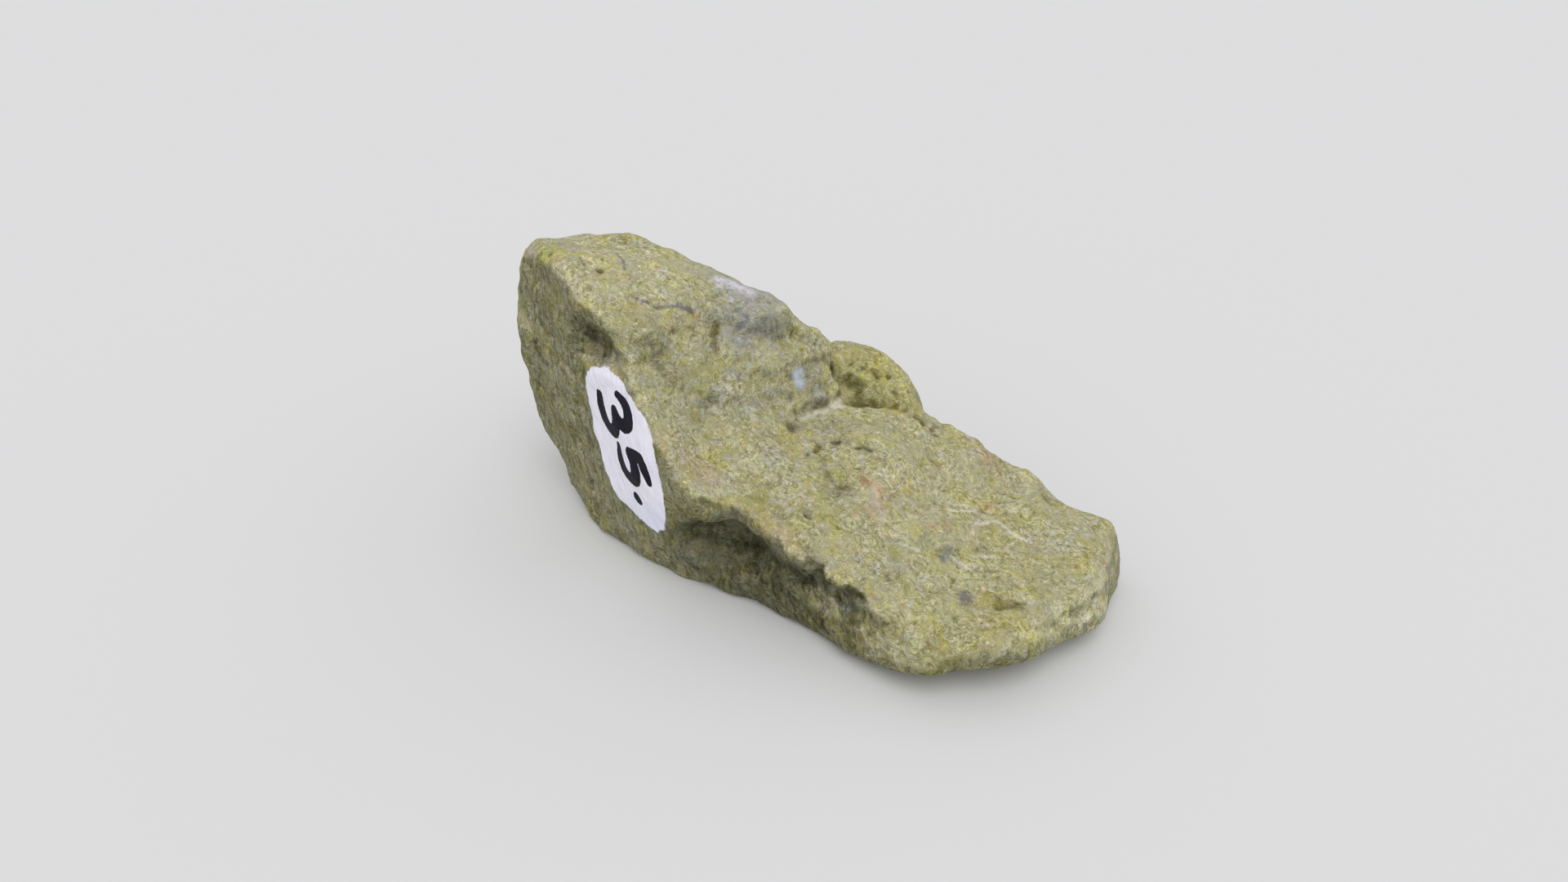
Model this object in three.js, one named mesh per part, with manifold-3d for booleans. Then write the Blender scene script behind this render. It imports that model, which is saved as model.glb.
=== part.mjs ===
// Olivine hand specimen: one natural stone, a tall head at -X that steps down to a low toe at +X.
// Millimetres, +Z up. The origin is on the surface it rests on, under the middle of its bounding box.
import * as THREE from 'three';
import { mergeVertices } from 'three/addons/utils/BufferGeometryUtils.js';
import { ImprovedNoise } from 'three/addons/math/ImprovedNoise.js';
import Module from 'manifold-3d';

// Driving dimensions. The faces, lumps and hollows below are placed from these corners of the stone.
const headEnd = -53; // the end of the head
const toeEnd = 54.5; // the tip of the toe
const crestHeight = 55;
const toeHeight = 12.5; // the toe's top edge, at the front
const ledgeFront = -20.7; // the front edge of the ramp

// How sharply the blocks, lumps and hollows meet.
const blockJoin = 2;
const lumpJoin = 2.5;
const outerEdge = 2.5;
const hollowEdge = 1.6;

const meshDetail = 20; // cuts along each edge of the icosahedron that is wrapped round the stone
const wrapPasses = 100; // rounds of evening out the wrapped mesh

const vector = (x, y, z) => new THREE.Vector3(x, y, z);

// Smooth joins: the larger or smaller of two distances, rounded over a width.
const smoothMax = (a, b, width) => {
  const h = Math.max(width - Math.abs(a - b), 0) / width;
  return Math.max(a, b) + (h * h * width) / 4;
};
const smoothMin = (a, b, width) => -smoothMax(-a, -b, width);

// Signed distance from a broken face through a point. It faces along azimuth and elevation, in degrees.
function face(through, azimuth, elevation) {
  const polar = THREE.MathUtils.degToRad(90 - elevation);
  const turn = THREE.MathUtils.degToRad(azimuth);
  const outward = vector(Math.sin(polar) * Math.cos(turn), Math.sin(polar) * Math.sin(turn), Math.cos(polar));
  const offset = outward.dot(vector(...through));
  return (p) => outward.dot(p) - offset;
}

// Signed distance from an ellipsoid, turned about Z.
function ball(centre, radii, turn = 0) {
  const middle = vector(...centre);
  const size = vector(...radii);
  const upright = vector(0, 0, 1);
  const angle = -THREE.MathUtils.degToRad(turn);
  return (p) => {
    const q = p.clone().sub(middle).applyAxisAngle(upright, angle).divide(size);
    const near = q.length();
    const steep = q.divide(size).length();
    return steep > 0 ? (near * (near - 1)) / steep : -Math.min(...radii);
  };
}

const meet = (faces, width) => (p) =>
  Object.values(faces).reduce((d, distance) => smoothMax(d, distance(p), width), -Infinity);

// Faces that bound the whole stone.
const outside = meet(
  {
    label: face([-8, -23.8, 35], -103, -1),
    leftFacet: face([-29, -19.6, 25], -110, -2.5),
    endTop: face([headEnd + 6.8, -13, 48.6], 172, 20),
    end: face([headEnd, -11, 30], 176, 0),
    endFoot: face([headEnd + 6, -12, 14], 180, -25),
    endCornerTop: face([-49.5, -10.1, 48], -134, 10),
    endCorner: face([-51.6, -13.2, 30], -128, -3),
    endCornerFoot: face([-42, -13.8, 10], -121, -15),
    crest: face([-36, -16, crestHeight], 69, 80),
    crestBack: face([-39, -1, crestHeight - 3.6], 125, 71),
    backCorner: face([-40.5, -4, crestHeight - 2.2], 140, 40),
    toeCorner: face([toeEnd - 8.6, -16.5, 8], -49, 6),
    tip: face([toeEnd, 0, 9], -18, 10),
    tipBack: face([toeEnd + 1.2, 12, 10], 12, 6),
    tipUnderside: face([36.5, -8, 0], -35, -66),
    bed: face([0, 0, -0.4], 0, -90),
  },
  2.5,
);

// Blocks that step down from the head to the toe, each cut by its own faces.
const backSlope = face([-25, 3, 49.8], 90, 35);
const leaningFlank = face([-2, -18, 0], -89.5, -15);
const blocks = {
  head: meet(
    {
      slopingTop: face([-21, -20.7, 49], -20, 59.5),
      crestFront: face([-27, -19.5, 47.8], -70, 42),
      riser: face([-15.6, -18, 41.5], -27, 22),
      backSlope,
      leaningFlank,
      back: face([-20, 18, 25], 86, 8),
    },
    2.5,
  ),
  apron: meet(
    {
      top: face([-9.5, -22, 35], 18, 40.5),
      ledgeCorner: face([3, -23.5, 24], -47, -8),
      backSlope,
      leaningFlank,
      back: face([-10, 18, 15], 88, 25),
    },
    2,
  ),
  ramp: meet(
    {
      top: face([0, 6, 28.6], -20, 68.5),
      ledge: face([20, ledgeFront, 17], -90, -10),
      leaningFlank,
      back: face([-10, 22, 15], 92, 20),
      tail: face([39.2, 20.9, 15.5], 40, 28),
    },
    2,
  ),
  toe: meet(
    {
      top: face([40, -20, toeHeight], -70, 86),
      frontEdge: face([34, ledgeFront + 0.5, toeHeight - 3.5], -96, 38),
      side: face([40, ledgeFront - 2.9, 6], -101, -8),
      back: face([44, 23.8, 8], 104, 18),
      backEdge: face([48, 22.6, toeHeight + 2.2], 98, 53),
    },
    3,
  ),
};

const lumps = {
  knob: ball([1.4, 21, 18], [13.5, 9, 13.8]),
  ridge: ball([22.6, 17, 8], [13.6, 9.6, 13.8], -10),
  shoulder: ball([13, 4, 8], [15, 12, 19.3], 20),
  heel: ball([-30, 8, 12], [17, 13, 16], 10),
};

const hollows = {
  underLedge: ball([4.5, -24, 11.2], [11, 8.8, 7.8], 4),
  underRamp: ball([19.5, -24, 11.4], [12, 6.6, 4.8], -2),
  underCrest: ball([-23.6, -23.2, 42.4], [7, 6.6, 4.7], -10),
  behindShoulder: ball([9.5, 14, 31], [9.5, 3.5, 5], 12),
  backDip: ball([-12, 27, 28], [9, 9, 12]),
};

// Broken relief: each layer of noise has a size, a height, and an edge that squares its lumps off.
const noise = new ImprovedNoise();
const noisePlace = vector(11.3, 4.7, 8.1);
const layers = [
  { size: 17, height: 0.5, edge: 3 },
  { size: 8, height: 0.45, edge: 2 },
  { size: 4.6, height: 0.35, edge: 1 },
];
const relief = (p) =>
  layers.reduce((sum, { size, height, edge }) => {
    const q = p.clone().divideScalar(size).add(noisePlace);
    return sum + height * Math.tanh(edge * noise.noise(q.x, q.y, q.z));
  }, 0);

function stone(p) {
  let d = Infinity;
  for (const distance of Object.values(blocks)) d = smoothMin(d, distance(p), blockJoin);
  for (const distance of Object.values(lumps)) d = smoothMin(d, distance(p), lumpJoin);
  d = smoothMax(d, outside(p), outerEdge);
  for (const distance of Object.values(hollows)) d = smoothMax(d, -distance(p), hollowEdge);
  return d - relief(p);
}

// Moves a point onto the zero level of a field, and returns the field's direction there.
function settle(field, p, rounds) {
  const step = 0.05;
  const longest = 3; // the most that one round moves the point
  const g = vector(0, 0, 0);
  for (let k = 0; k < rounds; k++) {
    const d = field(p);
    g.set(
      field(vector(p.x + step, p.y, p.z)) - d,
      field(vector(p.x, p.y + step, p.z)) - d,
      field(vector(p.x, p.y, p.z + step)) - d,
    ).divideScalar(step);
    p.addScaledVector(g, -THREE.MathUtils.clamp(d / g.lengthSq(), -longest, longest));
  }
  return g.normalize();
}

// An icosahedron wrapped onto the zero level of a field. Each pass slides every vertex towards the
// middle of the triangles round it, the larger ones pulling more, and settles it back on the level.
function wrap(field, centre, radii, taper) {
  const sphere = new THREE.IcosahedronGeometry(1, meshDetail);
  sphere.deleteAttribute('normal');
  sphere.deleteAttribute('uv');
  const mesh = mergeVertices(sphere, 1e-4);
  const place = mesh.attributes.position;
  const points = Array.from({ length: place.count }, (_, i) => {
    const [x, y, z] = [place.getX(i), place.getY(i), place.getZ(i)];
    const height = centre[2] + taper * x;
    const spread = (radii[2] * height) / centre[2];
    return vector(centre[0] + radii[0] * x, centre[1] + radii[1] * y, height + spread * z);
  });
  const outward = points.map((p) => settle(field, p, 12));
  const index = mesh.index.array;
  const pull = points.map(() => vector(0, 0, 0));
  const weight = new Float64Array(points.length);
  for (let pass = 0; pass < wrapPasses; pass++) {
    pull.forEach((v) => v.set(0, 0, 0));
    weight.fill(0);
    for (let i = 0; i < index.length; i += 3) {
      const corners = [index[i], index[i + 1], index[i + 2]];
      const triangle = new THREE.Triangle(...corners.map((k) => points[k]));
      const area = triangle.getArea();
      const middle = triangle.getMidpoint(vector(0, 0, 0));
      for (const k of corners) {
        pull[k].addScaledVector(middle, area);
        weight[k] += area;
      }
    }
    points.forEach((p, i) => {
      const shift = pull[i].divideScalar(weight[i]).sub(p);
      p.add(shift.addScaledVector(outward[i], -shift.dot(outward[i])));
      outward[i] = settle(field, p, 1);
    });
  }
  points.forEach((p, i) => {
    settle(field, p, 3);
    place.setXYZ(i, p.x, p.y, p.z);
  });
  return mesh;
}

const wasm = await Module();
wasm.setup();
const solid = (geometry) => {
  geometry.deleteAttribute('normal');
  geometry.deleteAttribute('uv');
  const closed = mergeVertices(geometry, 1e-4);
  return new wasm.Manifold(
    new wasm.Mesh({
      numProp: 3,
      vertProperties: closed.attributes.position.array,
      triVerts: new Uint32Array(closed.index.array),
    }),
  );
};
const geometryOf = (shape) => {
  const { vertProperties, triVerts } = shape.getMesh();
  return new THREE.BufferGeometry()
    .setAttribute('position', new THREE.BufferAttribute(new Float32Array(vertProperties), 3))
    .setIndex(new THREE.BufferAttribute(new Uint32Array(triVerts), 1));
};

// The wrapped stone is cut flat where it rests.
const rough = wrap(stone, [4, 0, 18], [50, 24, 18], -12);
const ground = new THREE.BoxGeometry(200, 200, 60).translate(0, 0, -30);
const specimen = solid(rough).subtract(solid(ground));
const geometry = geometryOf(specimen);
geometry.computeBoundingBox();
const middle = geometry.boundingBox.getCenter(vector(0, 0, 0));
geometry.translate(-middle.x, -middle.y, 0);
geometry.computeVertexNormals();

const olivine = new THREE.MeshStandardMaterial({ color: 0xa39e6b, roughness: 0.85, metalness: 0 });
const mesh = new THREE.Mesh(geometry, olivine);
mesh.name = 'stone';

const part = new THREE.Group();
part.add(mesh);
export default part;
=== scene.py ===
# Olivine hand specimen: a broken stone with a hand-painted number, on a pale floor in soft light.
import math

import bmesh
import bpy
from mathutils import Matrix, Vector, kdtree, noise


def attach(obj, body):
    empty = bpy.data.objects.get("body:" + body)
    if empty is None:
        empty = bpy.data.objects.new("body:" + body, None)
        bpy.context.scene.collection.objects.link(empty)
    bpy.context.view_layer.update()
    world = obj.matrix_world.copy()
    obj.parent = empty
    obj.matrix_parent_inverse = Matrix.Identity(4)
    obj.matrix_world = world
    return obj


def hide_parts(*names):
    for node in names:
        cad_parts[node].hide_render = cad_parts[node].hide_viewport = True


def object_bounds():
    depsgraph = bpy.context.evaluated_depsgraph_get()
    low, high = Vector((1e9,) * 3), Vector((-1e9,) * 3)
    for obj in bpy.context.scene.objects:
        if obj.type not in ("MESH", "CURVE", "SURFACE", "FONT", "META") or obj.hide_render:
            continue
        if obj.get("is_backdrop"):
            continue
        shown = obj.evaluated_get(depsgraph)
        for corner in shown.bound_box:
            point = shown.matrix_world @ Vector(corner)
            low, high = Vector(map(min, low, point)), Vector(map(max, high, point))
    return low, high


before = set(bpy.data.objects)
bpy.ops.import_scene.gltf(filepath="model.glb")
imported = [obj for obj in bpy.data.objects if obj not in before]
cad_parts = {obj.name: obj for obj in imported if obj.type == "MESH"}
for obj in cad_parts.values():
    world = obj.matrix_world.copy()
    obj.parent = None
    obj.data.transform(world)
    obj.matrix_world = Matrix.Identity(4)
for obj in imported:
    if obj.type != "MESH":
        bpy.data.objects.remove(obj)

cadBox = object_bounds()
mm = 0.001  # sizes and places are given in millimetres, and the scene is in metres


# ---- the floor, the light and the camera
studio = {
    "floorSize": 9000,
    "floorColor": (222, 222, 222),
    "floorRoughness": 0.95,
    "floorShine": 0.1,
    "skyColor": (236, 236, 238),
    "skyStrength": 0.84,
    "keyStrength": 0.98,
    "keyFrom": (0.3, -0.36, 0.88),  # towards the key light
    "keySpread": 45,  # degrees: the wider, the softer its shadow
    "cameraPlace": (85.66, -129.39, 122.21),
    "cameraTarget": (-2.86, -2.98, 22.0),
    "viewHeight": 45,  # degrees from the bottom of the view to its top
    "viewStart": 10,  # how near to the camera a thing still shows
    "screenGamma": 2.2,
}


def linear(color):
    # a colour from 0 to 255, as a screen shows it, for a colour socket
    return tuple((c / 255) ** studio["screenGamma"] for c in color) + (1.0,)


class Wire:
    # wraps an output socket of the material being made, so that sums of wires add their Math nodes
    tree = None

    def __init__(self, socket):
        self.socket = socket

    @classmethod
    def node(cls, kind, settings, sockets, output=0):
        made = cls.tree.nodes.new(kind)
        for name, value in settings.items():
            if name == "stops":
                ramp = made.color_ramp
                for k, (place, color) in enumerate(value):
                    stop = ramp.elements[k] if k < 2 else ramp.elements.new(place)
                    stop.position = place
                    stop.color = linear(color)
            else:
                setattr(made, name, value)
        for name, value in sockets.items():
            if isinstance(value, Wire):
                cls.tree.links.new(value.socket, made.inputs[name])
            else:
                made.inputs[name].default_value = value
        return cls(made.outputs[output])

    def __add__(self, other):
        return maths("ADD", self, other)

    def __radd__(self, other):
        return maths("ADD", other, self)

    def __sub__(self, other):
        return maths("SUBTRACT", self, other)

    def __rsub__(self, other):
        return maths("SUBTRACT", other, self)

    def __mul__(self, other):
        return maths("MULTIPLY", self, other)

    def __rmul__(self, other):
        return maths("MULTIPLY", other, self)


node = Wire.node


def maths(operation, a, b):
    return node("ShaderNodeMath", {"operation": operation}, {0: a, 1: b})


def vectors(operation, a, b, output=0):
    return node("ShaderNodeVectorMath", {"operation": operation}, {0: a, 1: b}, output)


def dot(a, b):
    return vectors("DOT_PRODUCT", a, b, "Value")


def scaled(a, factor):
    return node("ShaderNodeVectorMath", {"operation": "SCALE"}, {0: a, "Scale": factor})


def length(a):
    return node("ShaderNodeVectorMath", {"operation": "LENGTH"}, {0: a}, "Value")


def rise(value, start, full, top=1.0):
    # 0 before start, top past full, and a smooth rise between them; start may be above full
    return node(
        "ShaderNodeMapRange",
        {"interpolation_type": "SMOOTHSTEP"},
        {"Value": value, "From Min": start, "From Max": full, "To Max": top},
    )


def mix(share, a, b, blend="MIX"):
    # the node's sockets for colours share their names with others, so they go by number
    return node("ShaderNodeMix", {"data_type": "RGBA", "blend_type": blend}, {0: share, 6: a, 7: b}, 2)


def cloud(place, size, detail=3, roughness=0.55, swirl=0.0, output=0):
    return node(
        "ShaderNodeTexNoise",
        {},
        {"Vector": place, "Scale": 1 / size, "Detail": detail, "Roughness": roughness, "Distortion": swirl},
        output,
    )


def wobble(place, size, reach):
    # the same place, moved about by a noise whose mean is 0.5
    away = vectors("SUBTRACT", cloud(place, size, 2, 0.5, output="Color"), (0.5, 0.5, 0.5))
    return vectors("ADD", place, vectors("MULTIPLY", away, (2 * reach,) * 3))


def newMaterial(name):
    material = bpy.data.materials.new(name)
    material.use_nodes = True
    Wire.tree = material.node_tree
    return material, material.node_tree.nodes["Principled BSDF"]


def makeFloor():
    bm = bmesh.new()
    bmesh.ops.create_grid(bm, x_segments=1, y_segments=1, size=studio["floorSize"] / 2 * mm)
    mesh = bpy.data.meshes.new("floor")
    bm.to_mesh(mesh)
    bm.free()
    floor = bpy.data.objects.new("floor", mesh)
    bpy.context.scene.collection.objects.link(floor)
    material, shader = newMaterial("palePaper")
    shader.inputs["Base Color"].default_value = linear(studio["floorColor"])
    shader.inputs["Roughness"].default_value = studio["floorRoughness"]
    shader.inputs["Specular IOR Level"].default_value = studio["floorShine"]
    mesh.materials.append(material)
    floor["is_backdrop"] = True


def makeLight():
    world = bpy.data.worlds.new("sky")
    world.use_nodes = True
    sky = world.node_tree.nodes["Background"]
    sky.inputs["Color"].default_value = linear(studio["skyColor"])
    sky.inputs["Strength"].default_value = studio["skyStrength"]
    bpy.context.scene.world = world
    light = bpy.data.lights.new("key", "SUN")
    light.energy = studio["keyStrength"]
    light.angle = math.radians(studio["keySpread"])
    key = bpy.data.objects.new("key", light)
    key.rotation_euler = Vector(studio["keyFrom"]).to_track_quat("Z", "Y").to_euler()
    bpy.context.scene.collection.objects.link(key)


def makeCamera():
    lens = bpy.data.cameras.new("camera")
    lens.sensor_fit = "VERTICAL"
    lens.angle = math.radians(studio["viewHeight"])
    lens.clip_start = studio["viewStart"] * mm
    lens.clip_end = 2 * studio["floorSize"] * mm
    camera = bpy.data.objects.new("camera", lens)
    place = Vector(studio["cameraPlace"])
    towards = Vector(studio["cameraTarget"]) - place
    camera.location = place * mm
    camera.rotation_euler = towards.to_track_quat("-Z", "Y").to_euler()
    bpy.context.scene.collection.objects.link(camera)
    bpy.context.scene.camera = camera
    bpy.context.scene.view_settings.view_transform = "Standard"


makeCamera()
makeFloor()
makeLight()
print("studio ready")


# ---- the stone's shape
label = {
    "middle": (-20.6, -23.7, 24.9),  # of the painted oval
    "along": (0.3502, -0.1254, -0.9283),  # the way the number reads
    "up": (0.9125, -0.1782, 0.3683),  # the way the digits stand
    "out": (-0.2116, -0.976, 0.052),
    "smooth": 15,  # how far from the middle the stone is smoother, for the paint
}

marks = {
    # each one: its places, how far it reaches and how deep it is pressed in
    "folds": [
        ([(-0.4, -4, 26.8), (-0.5, -0.3, 27.3), (0.8, 2.9, 27.3), (2.8, 6.2, 27.2), (4.3, 10.7, 26),
          (8.2, 12.5, 26), (12, 13.9, 25.4), (14.7, 14.3, 24.4), (17.2, 13.6, 23.2)], 1.9, 1.1),
        ([(-10.9, -16, 30.7), (-7.5, -10.5, 30.3), (-4.1, -4.8, 29.2), (-1.7, 0.3, 28.6),
          (-0.1, 4.1, 28.9)], 3, 0.4),
        ([(-30.5, -22.4, 39.7), (-31.6, -21.5, 27.8), (-34, -20.3, 3.5)], 3, 0.5),
        ([(-31, -21.3, 44), (-28, -21.6, 41), (-24.2, -21.8, 40.5), (-20, -22.8, 38.5)], 3, 0.7),
        ([(-1.5, -25, 24.3), (5.5, -21.6, 22), (11.7, -22.7, 19.9), (16, -23.3, 16.6),
          (23, -22.5, 15)], 2.2, -0.6),
        ([(-3.5, -20.8, 7.7), (1.9, -19.4, 7.2), (9.7, -20.9, 9.3)], 2.6, -0.6),
        ([(41.9, -10.4, 12.9), (45.1, -7.9, 13.1)], 1.4, 0.45),
        ([(31, 7.9, 15.9), (33, 7, 15.5)], 4.5, -0.5),
        ([(-36.5, -19, 53.5), (-30, -20.5, 50)], 2.5, -0.4),
        ([(-2.5, 9.3, 33), (0, 10.6, 29.5), (3, 12, 27.5)], 1.8, 0.8),
        ([(-33, -4, 51.8), (-26.5, -4, 51.4)], 5, -0.9),
        ([(-9, 1.6, 44.9), (-6.5, 3.6, 42)], 4.5, -0.5),
        ([(14.8, 15.3, 24.4), (17, 16, 23.3)], 2.4, 1.7),
        ([(19.5, 16.6, 22.2), (23, 17, 20.8)], 3, -0.8),
        ([(37.8, 16.2, 16.4), (39, 15.6, 16)], 2.2, 0.8),
        ([(-46.8, -17.8, 47.5), (-48.1, -17.6, 41.3)], 5, 0.7),
        ([(-48.5, -17.2, 35), (-50, -16, 29)], 5, -1),
        ([(35.5, 17, 16.8), (33, 17.6, 17.5)], 3, -0.7),
    ],
    "deepDents": [
        ([(16.4, -22.9, 17.4), (17.6, -22.8, 16.4)], 1.8, 0.9),
        ([(18.2, -21.8, 14.4), (20.4, -21.4, 12.8)], 2.2, 1.2),
        ([(23, -22.2, 14.4), (24.4, -22, 13.6)], 1.7, 0.8),
    ],
    "dents": [
        ([(20, -20.8, 10.4)], 1.3, 0.8),
        ([(4.9, -4.6, 24.9), (5.3, -5.6, 24.5)], 1, 0.7),
        ([(4.6, -6.7, 24.2)], 0.9, 0.5),
        ([(6.6, -2.5, 25.8), (7.6, -2.6, 25.8)], 0.9, 0.7),
        ([(9.3, -2.2, 26.1)], 0.9, 0.5),
        ([(11.8, -2.3, 26), (13.6, -1.9, 25.9)], 1, 0.7),
        ([(1.7, 14.6, 30)], 1.2, 0.7),
        ([(4.1, 15.2, 29.2), (5, 15, 28.8)], 1.3, 0.9),
        ([(6.3, 16.9, 28.7)], 1, 0.7),
        ([(8.4, 15.6, 27.1), (9.3, 15.6, 26.7)], 1.2, 0.8),
        ([(10, 17.2, 26.5)], 1.1, 0.7),
        ([(6.5, 14.5, 27.4)], 1, 0.6),
    ],
    "cracks": [
        ([(-33.5, -16.7, 53.3), (-30.8, -18.3, 53.1)], 0.6, 0.3),
        ([(-31.4, -10.6, 52.1), (-29.2, -11.4, 52), (-27.4, -13.1, 51.6)], 0.6, 0.3),
        ([(-22.7, -16.6, 49.7), (-21, -15.5, 48.7), (-19.6, -14.6, 47.8), (-18.4, -12.8, 47.4),
          (-17.5, -11.3, 46.9), (-16.1, -10.1, 45.5)], 0.7, 0.4),
        ([(-11.9, -4.1, 44.7), (-11.1, -3.2, 44.4), (-10.1, -2.8, 43.1), (-10.9, -4.4, 42)], 0.6, 0.35),
        ([(-11, -1, 45.8), (-11.2, -2.3, 45.3)], 0.6, 0.3),
    ],
    "crevices": [([(-13.4, -7.5, 42.8), (-12.6, -8.4, 41), (-12.2, -8.9, 39.3)], 1.0, 0.6)],
    # each smear: its places, its width, its colour and how strong it is
    "smears": [
        ([(-15, -1, 47.6), (-9.5, 0, 44)], 8, (176, 177, 170), 0.3),
        ([(-25, -7, 51), (-17, -3, 48.6)], 2.5, (168, 166, 150), 0.4),
        ([(-16, -2.8, 48.5), (-14, -1.4, 47.6), (-11.6, 0.2, 46.8)], 1.9, (228, 222, 236), 0.85),
        ([(-0.5, -0.3, 27.3), (0.8, 2.9, 27.3), (2.8, 6.2, 27.2)], 1.6, (226, 221, 198), 0.9),
        ([(-3.4, 1.6, 32.5), (-2.9, 2.3, 32.2)], 1.2, (198, 210, 234), 0.95),
        ([(-0.4, 4, 29.4), (0, 4.6, 29)], 0.9, (190, 196, 200), 0.5),
        ([(17.4, -6.2, 21.1), (20.4, -8.7, 19.1)], 1.6, (214, 204, 196), 0.5),
        ([(14.4, -5.6, 22.6), (16.2, -5.9, 22), (18.2, -5.4, 21.3)], 0.8, (188, 128, 88), 0.5),
        ([(26.4, -3.9, 17.5), (27.4, -3.7, 17.2)], 1.0, (190, 130, 90), 0.5),
        ([(28.2, -2, 16.6), (28.9, -2.1, 16.3)], 0.7, (184, 124, 86), 0.45),
        ([(30.6, -5.2, 15.4), (31.6, -7.2, 15)], 1.2, (118, 121, 128), 0.6),
    ],
    # each scratch: its places and its width
    "scratches": [
        ([(26.9, 2, 16.8), (30.3, 5.4, 15.9)], 0.42),
        ([(31.3, 2.1, 15.6), (34, 5.7, 14.8), (37, 5.3, 14.6), (40.3, 5.1, 14.4)], 0.49),
        ([(32, -6.4, 14.9), (35.5, -6.2, 13.9)], 0.42),
        ([(34.1, -3.6, 14.3), (36.9, -1.3, 13.6)], 0.42),
        ([(24.5, -10.5, 17.5), (27.5, -9.5, 16.6)], 0.35),
    ],
    "astray": (0.9, 0.35),  # how a pressed mark wanders: the size of its bends and how far they go
    "ragged": (1.1, 0.3),  # and how its rim does
    "steps": 4,  # places along a mark for each reach
}

shape = {
    "merge": 0.001,  # vertices of the solid nearer than this are one
    "voxel": 0.5,  # the size of the mesh's faces
    "rounding": 4,  # rounds of smoothing over the solid's flat triangles
    # where the edges are rounder still: middle, reach and rounds
    "soft": ((48, -8, 9), 26, 36),
    "bend": (4, 1.3),  # the wobble that bends the relief: its size and how far it goes
    "chips": [(9, 0.48), (4.2, 0.32)],  # size and height of the flat chips broken off
    "lumps": [(6, 0.3), (2.6, 0.2), (1.3, 0.12)],  # size and height of the rounder relief
    "grains": (1.6, 0.12),  # size and height of the single grains
    "grainLevel": 0.45,  # how far from its middle, in grain sizes, a grain is level with the stone
    "pits": (3.1, 0.95, 0.5),  # spacing, radius and depth of the pits
    "pitWidths": (0.6, 0.8, 0.3),  # the mean and how far they vary, in radii, and the narrowest
    "pitChance": (0.12, 0.4),  # a higher level makes more pits: in general, and added where it is rough
    # where the stone is rougher or calmer: middle, reach and how much
    "rough": [((-8, -6, 37), 16, -0.9), ((4, 15, 28), 12, 1), ((12, -21, 12), 18, 0.9)],
    "roughEdge": 2,  # how sharply those places begin
    "roughLift": 0.5,  # how much higher the relief is there
    "paintEdge": 2.2,  # how sharply the smoother stone under the paint begins
    "paintCalm": 0.8,  # how much of the relief it lacks
    "settling": 1,  # rounds of smoothing after the relief
    "hollowRounds": 14,  # the smoothing that the small hollows are measured against
    "recessRounds": 90,  # and the large ones
}


def drift(p):
    # a smooth vector noise, the same on every run, from three unrelated parts of one noise
    return Vector([noise.noise(p + Vector(part)) for part in ((0, 0, 0), (17, 3, 29), (5, 31, 11))])


def nearness(p, middle, reach, edge=1.0):
    # 1 at a place, or round it where the edge is sharper, falling to 0 at its reach
    return min(1.0, edge * max(0.0, 1 - (p - Vector(middle)).length / reach))


# in the next two, what a cell is multiplied by and moved by only picks another part of the noise
def chipped(p, size, height):
    # every cell leans its own way, as a chipped face does
    cell = noise.voronoi(p / size)[1][0]
    lean = drift(cell * 3.7 + Vector((5.2, 1.3, 8.8)))
    return height * (p / size - cell).dot(lean)


def pitted(p, chance):
    # a pit in some of the cells, each of its own width; noise.cell gives -1 to 1
    spacing, radius, depth = shape["pits"]
    mean, spread, narrowest = shape["pitWidths"]
    distances, cells = noise.voronoi(p / spacing)
    if noise.cell(cells[0] * 9.1) > chance:
        return 0.0
    width = radius * (mean + spread * noise.cell(cells[0] * 4.3 + Vector((3, 1, 2))))
    bowl = max(0.0, 1 - distances[0] * spacing / max(width, narrowest))
    return -depth * bowl * bowl * (3 - 2 * bowl)


def relief(p):
    # how far the surface stands out at a place, in millimetres
    edge = shape["roughEdge"]
    rough = sum(much * nearness(p, middle, reach, edge) for middle, reach, much in shape["rough"])
    paint = nearness(p, label["middle"], label["smooth"], shape["paintEdge"])
    size, reach = shape["bend"]
    bent = p + reach * drift(p / size)
    height = sum(chipped(bent, *chip) for chip in shape["chips"])
    height += sum(h * noise.noise(bent / size + Vector((size, 4, 7))) for size, h in shape["lumps"])
    size, h = shape["grains"]
    height += h * (shape["grainLevel"] - noise.voronoi(bent / size)[0][0])
    chance, more = shape["pitChance"]
    height += pitted(bent, chance + more * rough)
    return height * (1 + shape["roughLift"] * rough) * (1 - shape["paintCalm"] * paint)


def alongPath(places, step):
    # points along a broken line, a little astray as a crack is
    size, reach = marks["astray"]
    for a, b in zip(places, places[1:]):
        a, b = Vector(a), Vector(b)
        count = max(1, round((b - a).length / step))
        for k in range(count):
            p = a.lerp(b, k / count)
            yield p + reach * drift(p / size)
    yield Vector(places[-1])


def pressMarks(places):
    # how far each vertex is pressed in by the folds, the dents and the cracks
    size, uneven = marks["ragged"]
    kinds = ("folds", "deepDents", "dents", "cracks", "crevices")
    pressing = [mark for kind in kinds for mark in marks[kind]]
    tree = kdtree.KDTree(len(places))
    for k, p in enumerate(places):
        tree.insert(p, k)
    tree.balance()
    pressed = [0.0] * len(places)
    for path, reach, depth in pressing:
        share = {}
        for point in alongPath(path, reach / marks["steps"]):
            surface = tree.find(point)[0]
            for p, k, away in tree.find_range(surface, reach):
                away *= 1 + uneven * noise.noise(p / size)
                share[k] = max(share.get(k, 0.0), 1 - (away / reach) ** 2)
        for k, bowl in share.items():
            pressed[k] += depth * bowl * bowl
    return pressed


def smooth(bm, rounds, verts=None):
    for _ in range(rounds):
        bmesh.ops.smooth_vert(
            bm, verts=verts or bm.verts, factor=0.5, use_axis_x=True, use_axis_y=True, use_axis_z=True
        )


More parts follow.
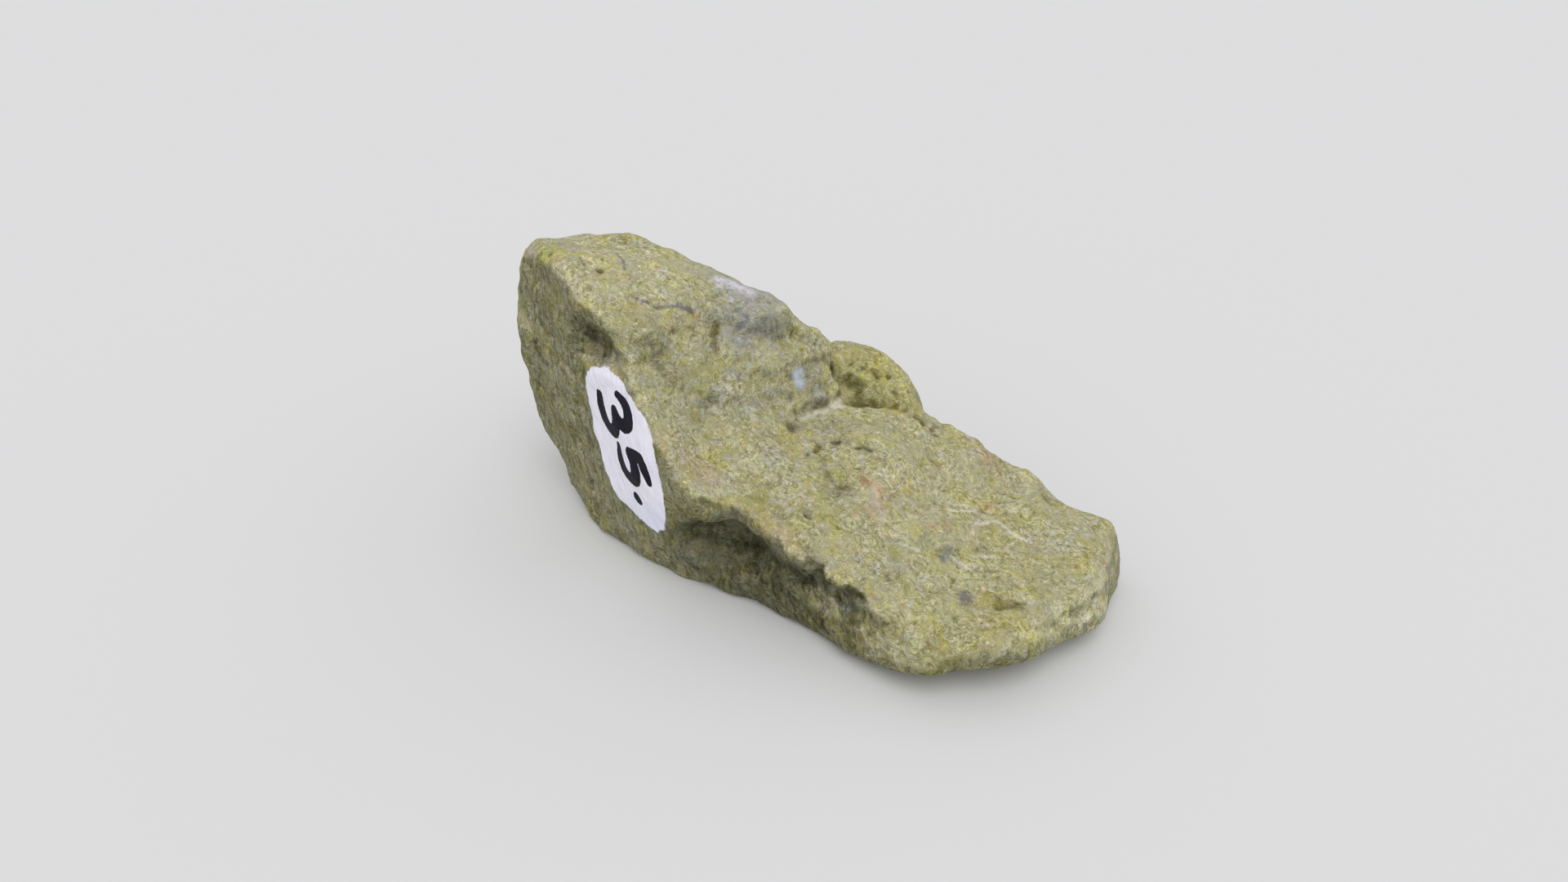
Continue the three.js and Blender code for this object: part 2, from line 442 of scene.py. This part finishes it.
def makeStone():
    # the solid's own mesh, merged and cut into small even faces
    bm = bmesh.new()
    bm.from_mesh(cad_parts["stone"].data)
    bmesh.ops.remove_doubles(bm, verts=bm.verts, dist=shape["merge"] * mm)
    solid = bpy.data.meshes.new("solid")
    bm.to_mesh(solid)
    bm.free()
    carrier = bpy.data.objects.new("carrier", solid)
    bpy.context.scene.collection.objects.link(carrier)
    cut = carrier.modifiers.new("cut", "REMESH")
    cut.mode = "VOXEL"
    cut.voxel_size = shape["voxel"] * mm
    cut.adaptivity = 0
    graph = bpy.context.evaluated_depsgraph_get()
    even = bpy.data.meshes.new_from_object(carrier.evaluated_get(graph))
    bpy.data.objects.remove(carrier)

    # the relief, the folds, the dents and the cracks are pressed into it
    bm = bmesh.new()
    bm.from_mesh(even)
    smooth(bm, shape["rounding"])
    middle, reach, rounds = shape["soft"]
    lifted = shape["voxel"] * mm  # the flat base stays as it is
    toe = [v for v in bm.verts if nearness(v.co / mm, middle, reach) > 0 and v.co.z > lifted]
    smooth(bm, rounds, toe)
    bm.normal_update()
    places = [v.co / mm for v in bm.verts]
    pressed = pressMarks(places)
    for v, p, dent in zip(bm.verts, places, pressed):
        v.co = (p + v.normal * (relief(p) - dent)) * mm
    smooth(bm, shape["settling"])
    for v in bm.verts:
        v.co.z = max(v.co.z, 0.0)
    bm.normal_update()
    bm.to_mesh(even)

    # how deep each vertex lies in the surface around it, near and far, for the colours
    soft = bm.copy()
    for name, rounds in (("hollow", shape["hollowRounds"]), ("recess", shape["recessRounds"])):
        smooth(soft, rounds)
        depths = [(s.co - v.co).dot(v.normal) / mm for s, v in zip(soft.verts, bm.verts)]
        even.attributes.new(name, "FLOAT", "POINT").data.foreach_set("value", depths)
        print(name, "from", round(min(depths), 2), "to", round(max(depths), 2))
    even.polygons.foreach_set("use_smooth", [True] * len(even.polygons))
    soft.free()
    bm.free()
    stone = bpy.data.objects.new("specimen", even)
    bpy.context.scene.collection.objects.link(stone)
    print("stone cut into", len(even.polygons), "faces")
    return stone


# ---- the stone's colours
colors = {
    # the grain's tones, each with its place in the noise
    "ramp": [(0.37, (114, 109, 74)), (0.45, (155, 150, 112)), (0.5, (177, 172, 138)),
             (0.55, (198, 194, 163)), (0.64, (225, 222, 200))],
    "fleck": (232, 228, 208),
    "darkGrain": (92, 87, 56),
    "crack": (98, 104, 132),
    "scratch": (236, 233, 220),
    # painted shade inside the deep dents
    "pitShade": (58, 54, 36),
    "crevice": (138, 118, 62),
    "paint": (246, 243, 252),
    "paintStreak": (226, 226, 242),
    "paintEnd": (226, 230, 250),
    "ink": (13, 14, 30),
}

# tints multiply the colour under them: 255 leaves it as it is
tints = {
    # tint, size of its patches, the noise where they begin and are full, and how strong they are
    "patches": [
        ((257, 255, 216), 2.2, 0.49, 0.61, 0.75),
        ((259, 257, 210), 5.5, 0.5, 0.62, 0.6),
        ((246, 249, 280), 2.4, 0.52, 0.64, 0.7),
        ((264, 250, 252), 2.8, 0.54, 0.66, 0.65),
        ((247, 255, 246), 3.6, 0.52, 0.66, 0.6),
        ((234, 233, 228), 7.0, 0.48, 0.62, 0.6),
        ((272, 270, 262), 4.0, 0.52, 0.66, 0.6),
    ],
    # tint, middle, half sizes and how strong it is
    "zones": [
        ((270, 270, 270), (-28, -12, 52), (18, 14, 5), 0.8),
        ((252, 250, 214), (4, 15, 29), (14, 9, 9), 0.8),
        ((250, 253, 264), (-9, -8, 35), (10, 14, 7), 0.8),
        ((234, 238, 268), (-11.5, -1, 44.5), (9, 8, 7), 0.9),
        ((262, 255, 300), (-45, -17.5, 52), (2, 2, 2), 0.9),
        ((250, 244, 282), (-36.9, -15.2, 53.7), (2.4, 1.8, 1.5), 0.8),
        ((256, 262, 226), (-39, -18.5, 53.5), (5, 3, 2.5), 0.9),
        ((206, 210, 232), (31.5, -6.5, 15.2), (2.6, 1.8, 1.6), 0.9),
        ((176, 180, 208), (37.4, -11.8, 12.9), (1.7, 1.7, 1.3), 0.8),
        ((262, 246, 252), (-4.5, -23.2, 26), (4, 3, 3), 0.8),
        ((258, 244, 244), (9, -22.8, 20.6), (8, 2.5, 2), 0.6),
        ((262, 240, 244), (27.5, 15.4, 19.4), (3.5, 2, 2), 0.7),
        ((246, 232, 222), (31.6, 7.4, 15.9), (3, 2.2, 1.5), 0.8),
        ((246, 226, 208), (19, -7.4, 20), (1.8, 3, 2), 0.7),
        ((186, 182, 162), (43.5, -9.1, 12.9), (2.8, 1, 1), 0.8),
        ((240, 226, 244), (-33.2, -20.4, 5), (1.5, 1.5, 2.2), 0.7),
        ((254, 253, 236), (38, -20.5, 9), (14, 5, 5), 0.7),
        # painted light: the toe's end is made paler, as where light falls on it
        ((286, 287, 290), (53, -3, 7), (6, 14, 8), 0.9),
        ((284, 285, 296), (55, 8, 6), (4, 14, 9), 0.9),
        ((257, 256, 246), (38, -8, 13), (16, 14, 5), 0.8),
        ((264, 264, 262), (19, 2, 21), (13, 12, 6), 0.8),
        # painted shadow in the recess under the crest's lip
        ((188, 190, 190), (-28, -21.5, 42), (6, 3.5, 4.5), 0.9),
        # painted shade under the ledge and on the low front flank, in bluish greys
        ((174, 176, 177), (-1, -22, 13.5), (13, 8, 9.5), 0.9),
        ((172, 177, 180), (11, -23, 13.5), (8, 5, 6), 0.9),
        ((196, 202, 208), (21, -22, 12), (6, 3, 4), 0.8),
        ((182, 184, 182), (7, -22, 5.5), (19, 8, 8), 0.9),
    ],
    # painted shade: the small hollows are darkened
    "hollowShade": (146, 142, 118),  # in the small hollows
    "worn": (268, 267, 262),  # on the edges
    "shade": (158, 158, 140),  # in the large hollows
    # painted shade, darker the less a surface faces up
    "steepShade": (211, 214, 214),  # on the steep sides
    "streak": (198, 196, 184),  # run down them
    # the broad streaks low on the front: each tint, with the noise where it begins and is full
    "runs": [((298, 295, 282), 0.49, 0.38), ((184, 181, 167), 0.5, 0.6)],
}

# each noise: the size of its forms, its detail, its roughness and its swirl
# each range: the value where it begins, the value where it is full and, where it isn't 1, how strong it is
texture = {
    "bend": (3.2, 1.3),  # the wobble that bends the patterns: its size and how far it goes
    "grain": (0.9, 6, 0.8),
    "fibres": (1.5, 6, 0.8, 2.4),
    "fibresWay": (0.55, 1, 1),  # they are drawn out along X
    "shares": (0.48, 0.6),  # of the grain and of the fibres in the tone
    "calm": (5, 2),
    "calmRange": (0.42, 0.62, 0.55),
    "calmTone": 0.54,
    "darker": 0.04,  # taken from the tone
    "patchNoise": (4, 0.55, 0.8),  # without its size, which each patch has
    "flecks": (0.6, 3, 0.6, 1.2),
    "paleRange": (0.57, 0.7, 0.7),
    "darkRange": (0.43, 0.3, 0.6),
    "zoneEdge": 0.6,
    # where the small hollows, the edges and the large hollows take their tints, in millimetres of depth
    "hollowShadeRange": (0.03, 0.32, 0.8),
    "wornRange": (-0.03, -0.25, 0.8),
    "shadeRange": (0.35, 1.8),
    "frontRange": (0.3, 0.8),  # of how squarely the surface faces the front
    "shadeBehind": 0.25,  # the share of the shade on surfaces that don't
    "steepRange": (0.5, 0.05),  # of how squarely the surface faces up
    "streaks": (0.9, 5, 0.7),
    "streaksWay": (1, 1, 0.2),
    "streaksRange": (0.45, 0.6),
    "runs": (1.5, 4, 0.65, 0.6),
    "runsWays": [(0.86, 0, 0.5), (0, 1, 0), (-0.1, 0, 0.17)],  # across, into and along them
    "runsPlace": ((13, -23, 7), (19, 9, 9), 0.7),  # their middle, half sizes and edge
    "breaks": (0.7, 3, 0.6),  # the noise that breaks up the marks
    "breaksRange": (0.38, 0.52),
    "roughness": 0.84,
    "roughnessSpread": 0.3,  # with the grain
    "shine": 0.15,
    "fleckHeight": 0.4,  # beside the grain's
    "bump": (0.7, 0.4),  # its strength and its height
}

# how a kind of mark is coloured: its width as a share of the mark's own, how soft its edge is,
# how much its heights count, and its strength where the stone breaks it up and where it is whole
drawing = {
    "cracks": (0.45, 0.22, 0.15, 0.4, 0.9),
    "crevices": (1.4, 0.6, 1, 0, 0.45),
    "scratches": (1, 0.35, 0.3, 0.1, 0.7),
    "deepDents": (1.1, 0.7, 1, 0.8, 0.8),
    "smears": (1, 0.45, 0.4, 0.5, 1),  # a smear's softness is a share of its width
    # the wobble of a crack's line and of a scratch's: its size and how far it goes
    "crackBend": (0.5, 0.45),
    "scratchBend": (0.9, 0.3),
}

number = {
    # each stroke: places along the number and up it, with the brush's half width at each
    "strokes": [
        [(-9.6, 3.4, 0.7), (-8.3, 4.6, 1.0), (-6.5, 5.1, 1.2), (-4.8, 4.4, 1.2), (-4.3, 2.9, 1.15),
         (-5.3, 1.7, 1.0), (-6.9, 1.1, 0.8)],
        [(-6.9, 1.1, 0.8), (-4.7, 0.8, 1.05), (-3.3, -0.6, 1.2), (-3.6, -2.2, 1.25), (-5.4, -3.3, 1.25),
         (-7.8, -3.2, 1.0), (-9.9, -2.1, 0.55)],
        [(5.3, 5.8, 0.6), (3.2, 5.7, 1.0), (1.1, 5.6, 1.1), (0.3, 2.6, 0.95)],
        [(0.3, 2.6, 0.95), (2.4, 3.2, 1.05), (4.4, 2.5, 1.2), (5.3, 0.8, 1.25), (4.4, -1.0, 1.25),
         (2.3, -1.8, 1.1), (-0.7, -1.0, 0.55)],
        [(8.9, -0.8, 0.95), (9.3, -0.6, 0.95)],
    ],
    # the oval's corners, along and up
    "outline": [(-14.3, -1.4), (-14, 2), (-12.2, 4.8), (-9.2, 7.3), (-5.6, 9.3), (-2.4, 10.1), (2, 9.7),
                (7, 8.5), (11.2, 6.7), (14, 4.2), (15.1, 1.6), (14.4, -0.8), (12.2, -4.4), (9, -8),
                (5, -9), (-3, -8.8), (-8, -7.2), (-12.4, -4.6)],
    "cornerRound": 0.5,
    "edge": (1.6, 3, 0.6),  # the noise of the oval's edge
    "ragged": 1,  # and how far it strays
    "bristlesWay": (0.12, 1.5, 0.5),  # they are drawn out along the number
    "bristles": (1, 3, 0.6),
    "brush": (0.5, 4, 0.7),
    "tips": (9, 14, 0.9),  # where the bristles show at the oval's ends, and how far they stray
    "edgeRange": (0.4, 0.1),
    "deepRange": (-7, -5),  # how far behind the oval's middle the paint still reaches
    "facingRange": (0.1, 0.3),  # of how squarely the stone faces the painter
    "hand": (4, 0.22),  # the wobble of the hand: its size and how far it goes
    "strokeJoin": 0.4,
    "inkNoise": (0.5, 2),
    "inkRagged": 0.2,
    "inkRange": (0.22, 0.06),
    "streakRange": (0.42, 0.66),
    "endPlace": (8, 14),  # where the oval's blue end begins and is full
    "endRange": (0.4, 0.5),
    "paintSmoother": (0.15, 0.1),  # than the stone, and ink than paint
    "paintFlatter": 0.85,
    "brushHeight": 0.2,
    "inkHeight": 0.15,
}


def joined(gap, here, operation="MINIMUM", width=0.0):
    # a further distance joined to those before it, if there are any
    if gap is None:
        return here
    return node("ShaderNodeMath", {"operation": operation}, {0: gap, 1: here, 2: width})


def strokeGap(place, points, widths):
    # distance from a brush stroke of changing width, less its half width
    gap = None
    for a, b, wide, wideAfter in zip(points, points[1:], widths, widths[1:]):
        a, b = Vector(a), Vector(b)
        run = b - a
        since = vectors("SUBTRACT", place, tuple(a))
        share = node("ShaderNodeClamp", {}, {"Value": dot(since, tuple(run / run.length_squared))})
        aside = vectors("SUBTRACT", since, scaled(tuple(run), share))
        here = length(aside) - (share * (wideAfter - wide) + wide)
        gap = joined(gap, here)
    return gap


def rounded(stroke):
    # the stroke with a point added between every two of its places, on the cubic curve through four
    places = [Vector(p) for p in stroke]
    places = [places[0] * 2 - places[1]] + places + [places[-1] * 2 - places[-2]]
    curve = [places[1]]
    for before, a, b, after in zip(places, places[1:], places[2:], places[3:]):
        curve += [(a + b) * 0.5625 - (before + after) * 0.0625, b]
    return curve


def lines(place, paths, soft, squash):
    # 1 on every path, falling to 0 at its edge; a squash below 1 lets it reach further up and down
    place = vectors("MULTIPLY", place, (1, 1, squash))
    gap = None
    for path, width in paths:
        here = strokeGap(place, [(x, y, z * squash) for x, y, z in path], [width / 2] * len(path))
        gap = joined(gap, here)
    return rise(gap, soft, -soft)


def spot(place, middle, radii, edge, top=1.0):
    # top in the middle of an ellipsoid, falling to 0 past its skin
    away = vectors("DIVIDE", vectors("SUBTRACT", place, middle), radii)
    return rise(length(away), 1 + edge / 2, 1 - edge, top)


def tinted(color, share, tint):
    return mix(share, color, linear(tint), "MULTIPLY")


def drawn(color, place, broken, kind, tint, paths, size=1.0, much=1.0):
    # the colour with marks of one kind drawn over it
    thin, soft, squash, least, most = drawing[kind]
    mask = lines(place, [(path, width * thin) for path, width, *_ in paths], soft * size, squash)
    return mix(mask * (broken * (most - least) + least) * much, color, linear(tint))


def numberMasks(place, facing):
    # the painted oval and the ink on it
    since = vectors("SUBTRACT", place, label["middle"])
    along, up, out = (dot(since, label[way]) for way in ("along", "up", "out"))
    flat = node("ShaderNodeCombineXYZ", {}, {"X": along, "Y": up})
    fine, cross, deep = number["bristlesWay"]
    brushed = node("ShaderNodeCombineXYZ", {}, {"X": along * fine, "Y": up * cross, "Z": out * deep})
    tips = rise(maths("ABSOLUTE", along, 0.0), *number["tips"])
    edge = (cloud(flat, *number["edge"]) - 0.5) * number["ragged"]
    edge += (cloud(brushed, *number["bristles"]) - 0.5) * tips
    gap = None
    corners = [Vector(c) for c in number["outline"]]
    for a, b in zip(corners, corners[1:] + corners[:1]):
        side = (b - a).normalized()
        outwards = Vector((-side.y, side.x))
        here = dot(flat, (outwards.x, outwards.y, 0)) - outwards.dot(a)
        gap = joined(gap, here, "SMOOTH_MAX", number["cornerRound"])
    near = rise(out, *number["deepRange"]) * rise(dot(facing, label["out"]), *number["facingRange"])
    paint = rise(gap + edge, *number["edgeRange"]) * near
    hand = wobble(flat, *number["hand"])
    ink = None
    for stroke in number["strokes"]:
        curve = rounded(stroke)
        here = strokeGap(hand, [(x, y, 0) for x, y, _ in curve], [width for _, _, width in curve])
        ink = joined(ink, here, "SMOOTH_MIN", number["strokeJoin"])
    ink += (cloud(flat, *number["inkNoise"]) - 0.5) * number["inkRagged"]
    return paint, rise(ink, *number["inkRange"]) * near, brushed, along


def stoneColor(bent, facing, grain, flecks):
    # grains in close tones with fibres swirling between them, and calmer places
    fibres = cloud(vectors("MULTIPLY", bent, texture["fibresWay"]), *texture["fibres"])
    calm = rise(cloud(bent, *texture["calm"]), *texture["calmRange"])
    grainShare, fibreShare = texture["shares"]
    tone = (grain * grainShare + fibres * fibreShare) * (1 - calm) + texture["calmTone"] * calm
    tone = tone - texture["darker"]
    color = node("ShaderNodeValToRGB", {"stops": colors["ramp"]}, {"Fac": tone})
    for k, (tint, size, start, full, much) in enumerate(tints["patches"]):
        away = vectors("ADD", bent, (31.0 * k, 7.0 * k, 19.0 * k))  # so that no two patches agree
        color = tinted(color, rise(cloud(away, size, *texture["patchNoise"]), start, full, much), tint)
    color = mix(rise(flecks, *texture["paleRange"]), color, linear(colors["fleck"]))
    color = mix(rise(flecks, *texture["darkRange"]), color, linear(colors["darkGrain"]))
    for tint, middle, radii, much in tints["zones"]:
        color = tinted(color, spot(bent, middle, radii, texture["zoneEdge"], much), tint)

    # the small and the large hollows get painted shade, edges are rubbed paler, and the steep sides get
    # painted shade, with streaks down them
    hollow = node("ShaderNodeAttribute", {"attribute_name": "hollow"}, {}, "Fac")
    recess = node("ShaderNodeAttribute", {"attribute_name": "recess"}, {}, "Fac")
    color = tinted(color, rise(hollow, *texture["hollowShadeRange"]), tints["hollowShade"])
    color = tinted(color, rise(hollow, *texture["wornRange"]), tints["worn"])
    least = texture["shadeBehind"]
    front = rise(dot(facing, (0.0, -1.0, 0.0)), *texture["frontRange"], 1 - least) + least
    color = tinted(color, rise(recess, *texture["shadeRange"]) * front, tints["shade"])
    # painted shade on the steep sides, by how little they face up
    steep = rise(dot(facing, (0.0, 0.0, 1.0)), *texture["steepRange"])
    color = tinted(color, steep, tints["steepShade"])
    streaks = cloud(vectors("MULTIPLY", bent, texture["streaksWay"]), *texture["streaks"])
    return tinted(color, steep * rise(streaks, *texture["streaksRange"]), tints["streak"])


def makeOlivine():
    material, shader = newMaterial("olivine")
    place = scaled(node("ShaderNodeTexCoord", {}, {}, "Object"), 1 / mm)
    facing = node("ShaderNodeNewGeometry", {}, {}, "Normal")
    bent = wobble(place, *texture["bend"])
    grain = cloud(bent, *texture["grain"])
    flecks = cloud(bent, *texture["flecks"])
    color = stoneColor(bent, facing, grain, flecks)
    ways = [dot(bent, way) for way in texture["runsWays"]]
    runs = cloud(node("ShaderNodeCombineXYZ", {}, dict(zip("XYZ", ways))), *texture["runs"])
    low = spot(place, *texture["runsPlace"])
    for tint, start, full in tints["runs"]:
        color = tinted(color, low * rise(runs, start, full), tint)

    # cracks, the crevice, smears and rust, scratches, and painted shade in the deep dents
    split = wobble(place, *drawing["crackBend"])
    astray = wobble(place, *drawing["scratchBend"])
    broken = rise(cloud(place, *texture["breaks"]), *texture["breaksRange"])
    color = drawn(color, split, broken, "cracks", colors["crack"], marks["cracks"])
    color = drawn(color, bent, broken, "crevices", colors["crevice"], marks["crevices"])
    for path, width, tint, much in marks["smears"]:
        color = drawn(color, bent, broken, "smears", tint, [(path, width)], width, much)
    color = drawn(color, astray, broken, "scratches", colors["scratch"], marks["scratches"])
    color = drawn(color, bent, broken, "deepDents", colors["pitShade"], marks["deepDents"])

    # the number is painted over the stone
    paint, ink, brushed, along = numberMasks(place, facing)
    brush = cloud(brushed, *number["brush"])
    white = mix(rise(brush, *number["streakRange"]), linear(colors["paint"]), linear(colors["paintStreak"]))
    end = rise(along, *number["endPlace"]) * rise(brush, *number["endRange"])
    white = mix(end, white, linear(colors["paintEnd"]))
    color = mix(paint, color, white)
    color = mix(paint * ink, color, linear(colors["ink"]))

    shader.inputs["Specular IOR Level"].default_value = texture["shine"]
    tree = Wire.tree
    tree.links.new(color.socket, shader.inputs["Base Color"])
    paintSmoother, inkSmoother = number["paintSmoother"]
    rough = texture["roughness"] + (grain - 0.5) * texture["roughnessSpread"]
    rough = rough - paint * paintSmoother - ink * paint * inkSmoother
    tree.links.new(rough.socket, shader.inputs["Roughness"])
    height = (grain + flecks * texture["fleckHeight"]) * (1 - paint * number["paintFlatter"])
    height = height + paint * (brush * number["brushHeight"] + ink * number["inkHeight"])
    strength, deep = texture["bump"]
    bump = node("ShaderNodeBump", {}, {"Strength": strength, "Distance": deep * mm, "Height": height})
    tree.links.new(bump.socket, shader.inputs["Normal"])
    print("olivine has", len(tree.nodes), "nodes")
    return material


specimen = makeStone()
specimen.data.materials.clear()
specimen.data.materials.append(makeOlivine())
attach(specimen, "root")
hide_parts("stone")

boxes = {"cad": cadBox, "visual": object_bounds()}
{name: [list(corner) for corner in box] for name, box in boxes.items()}
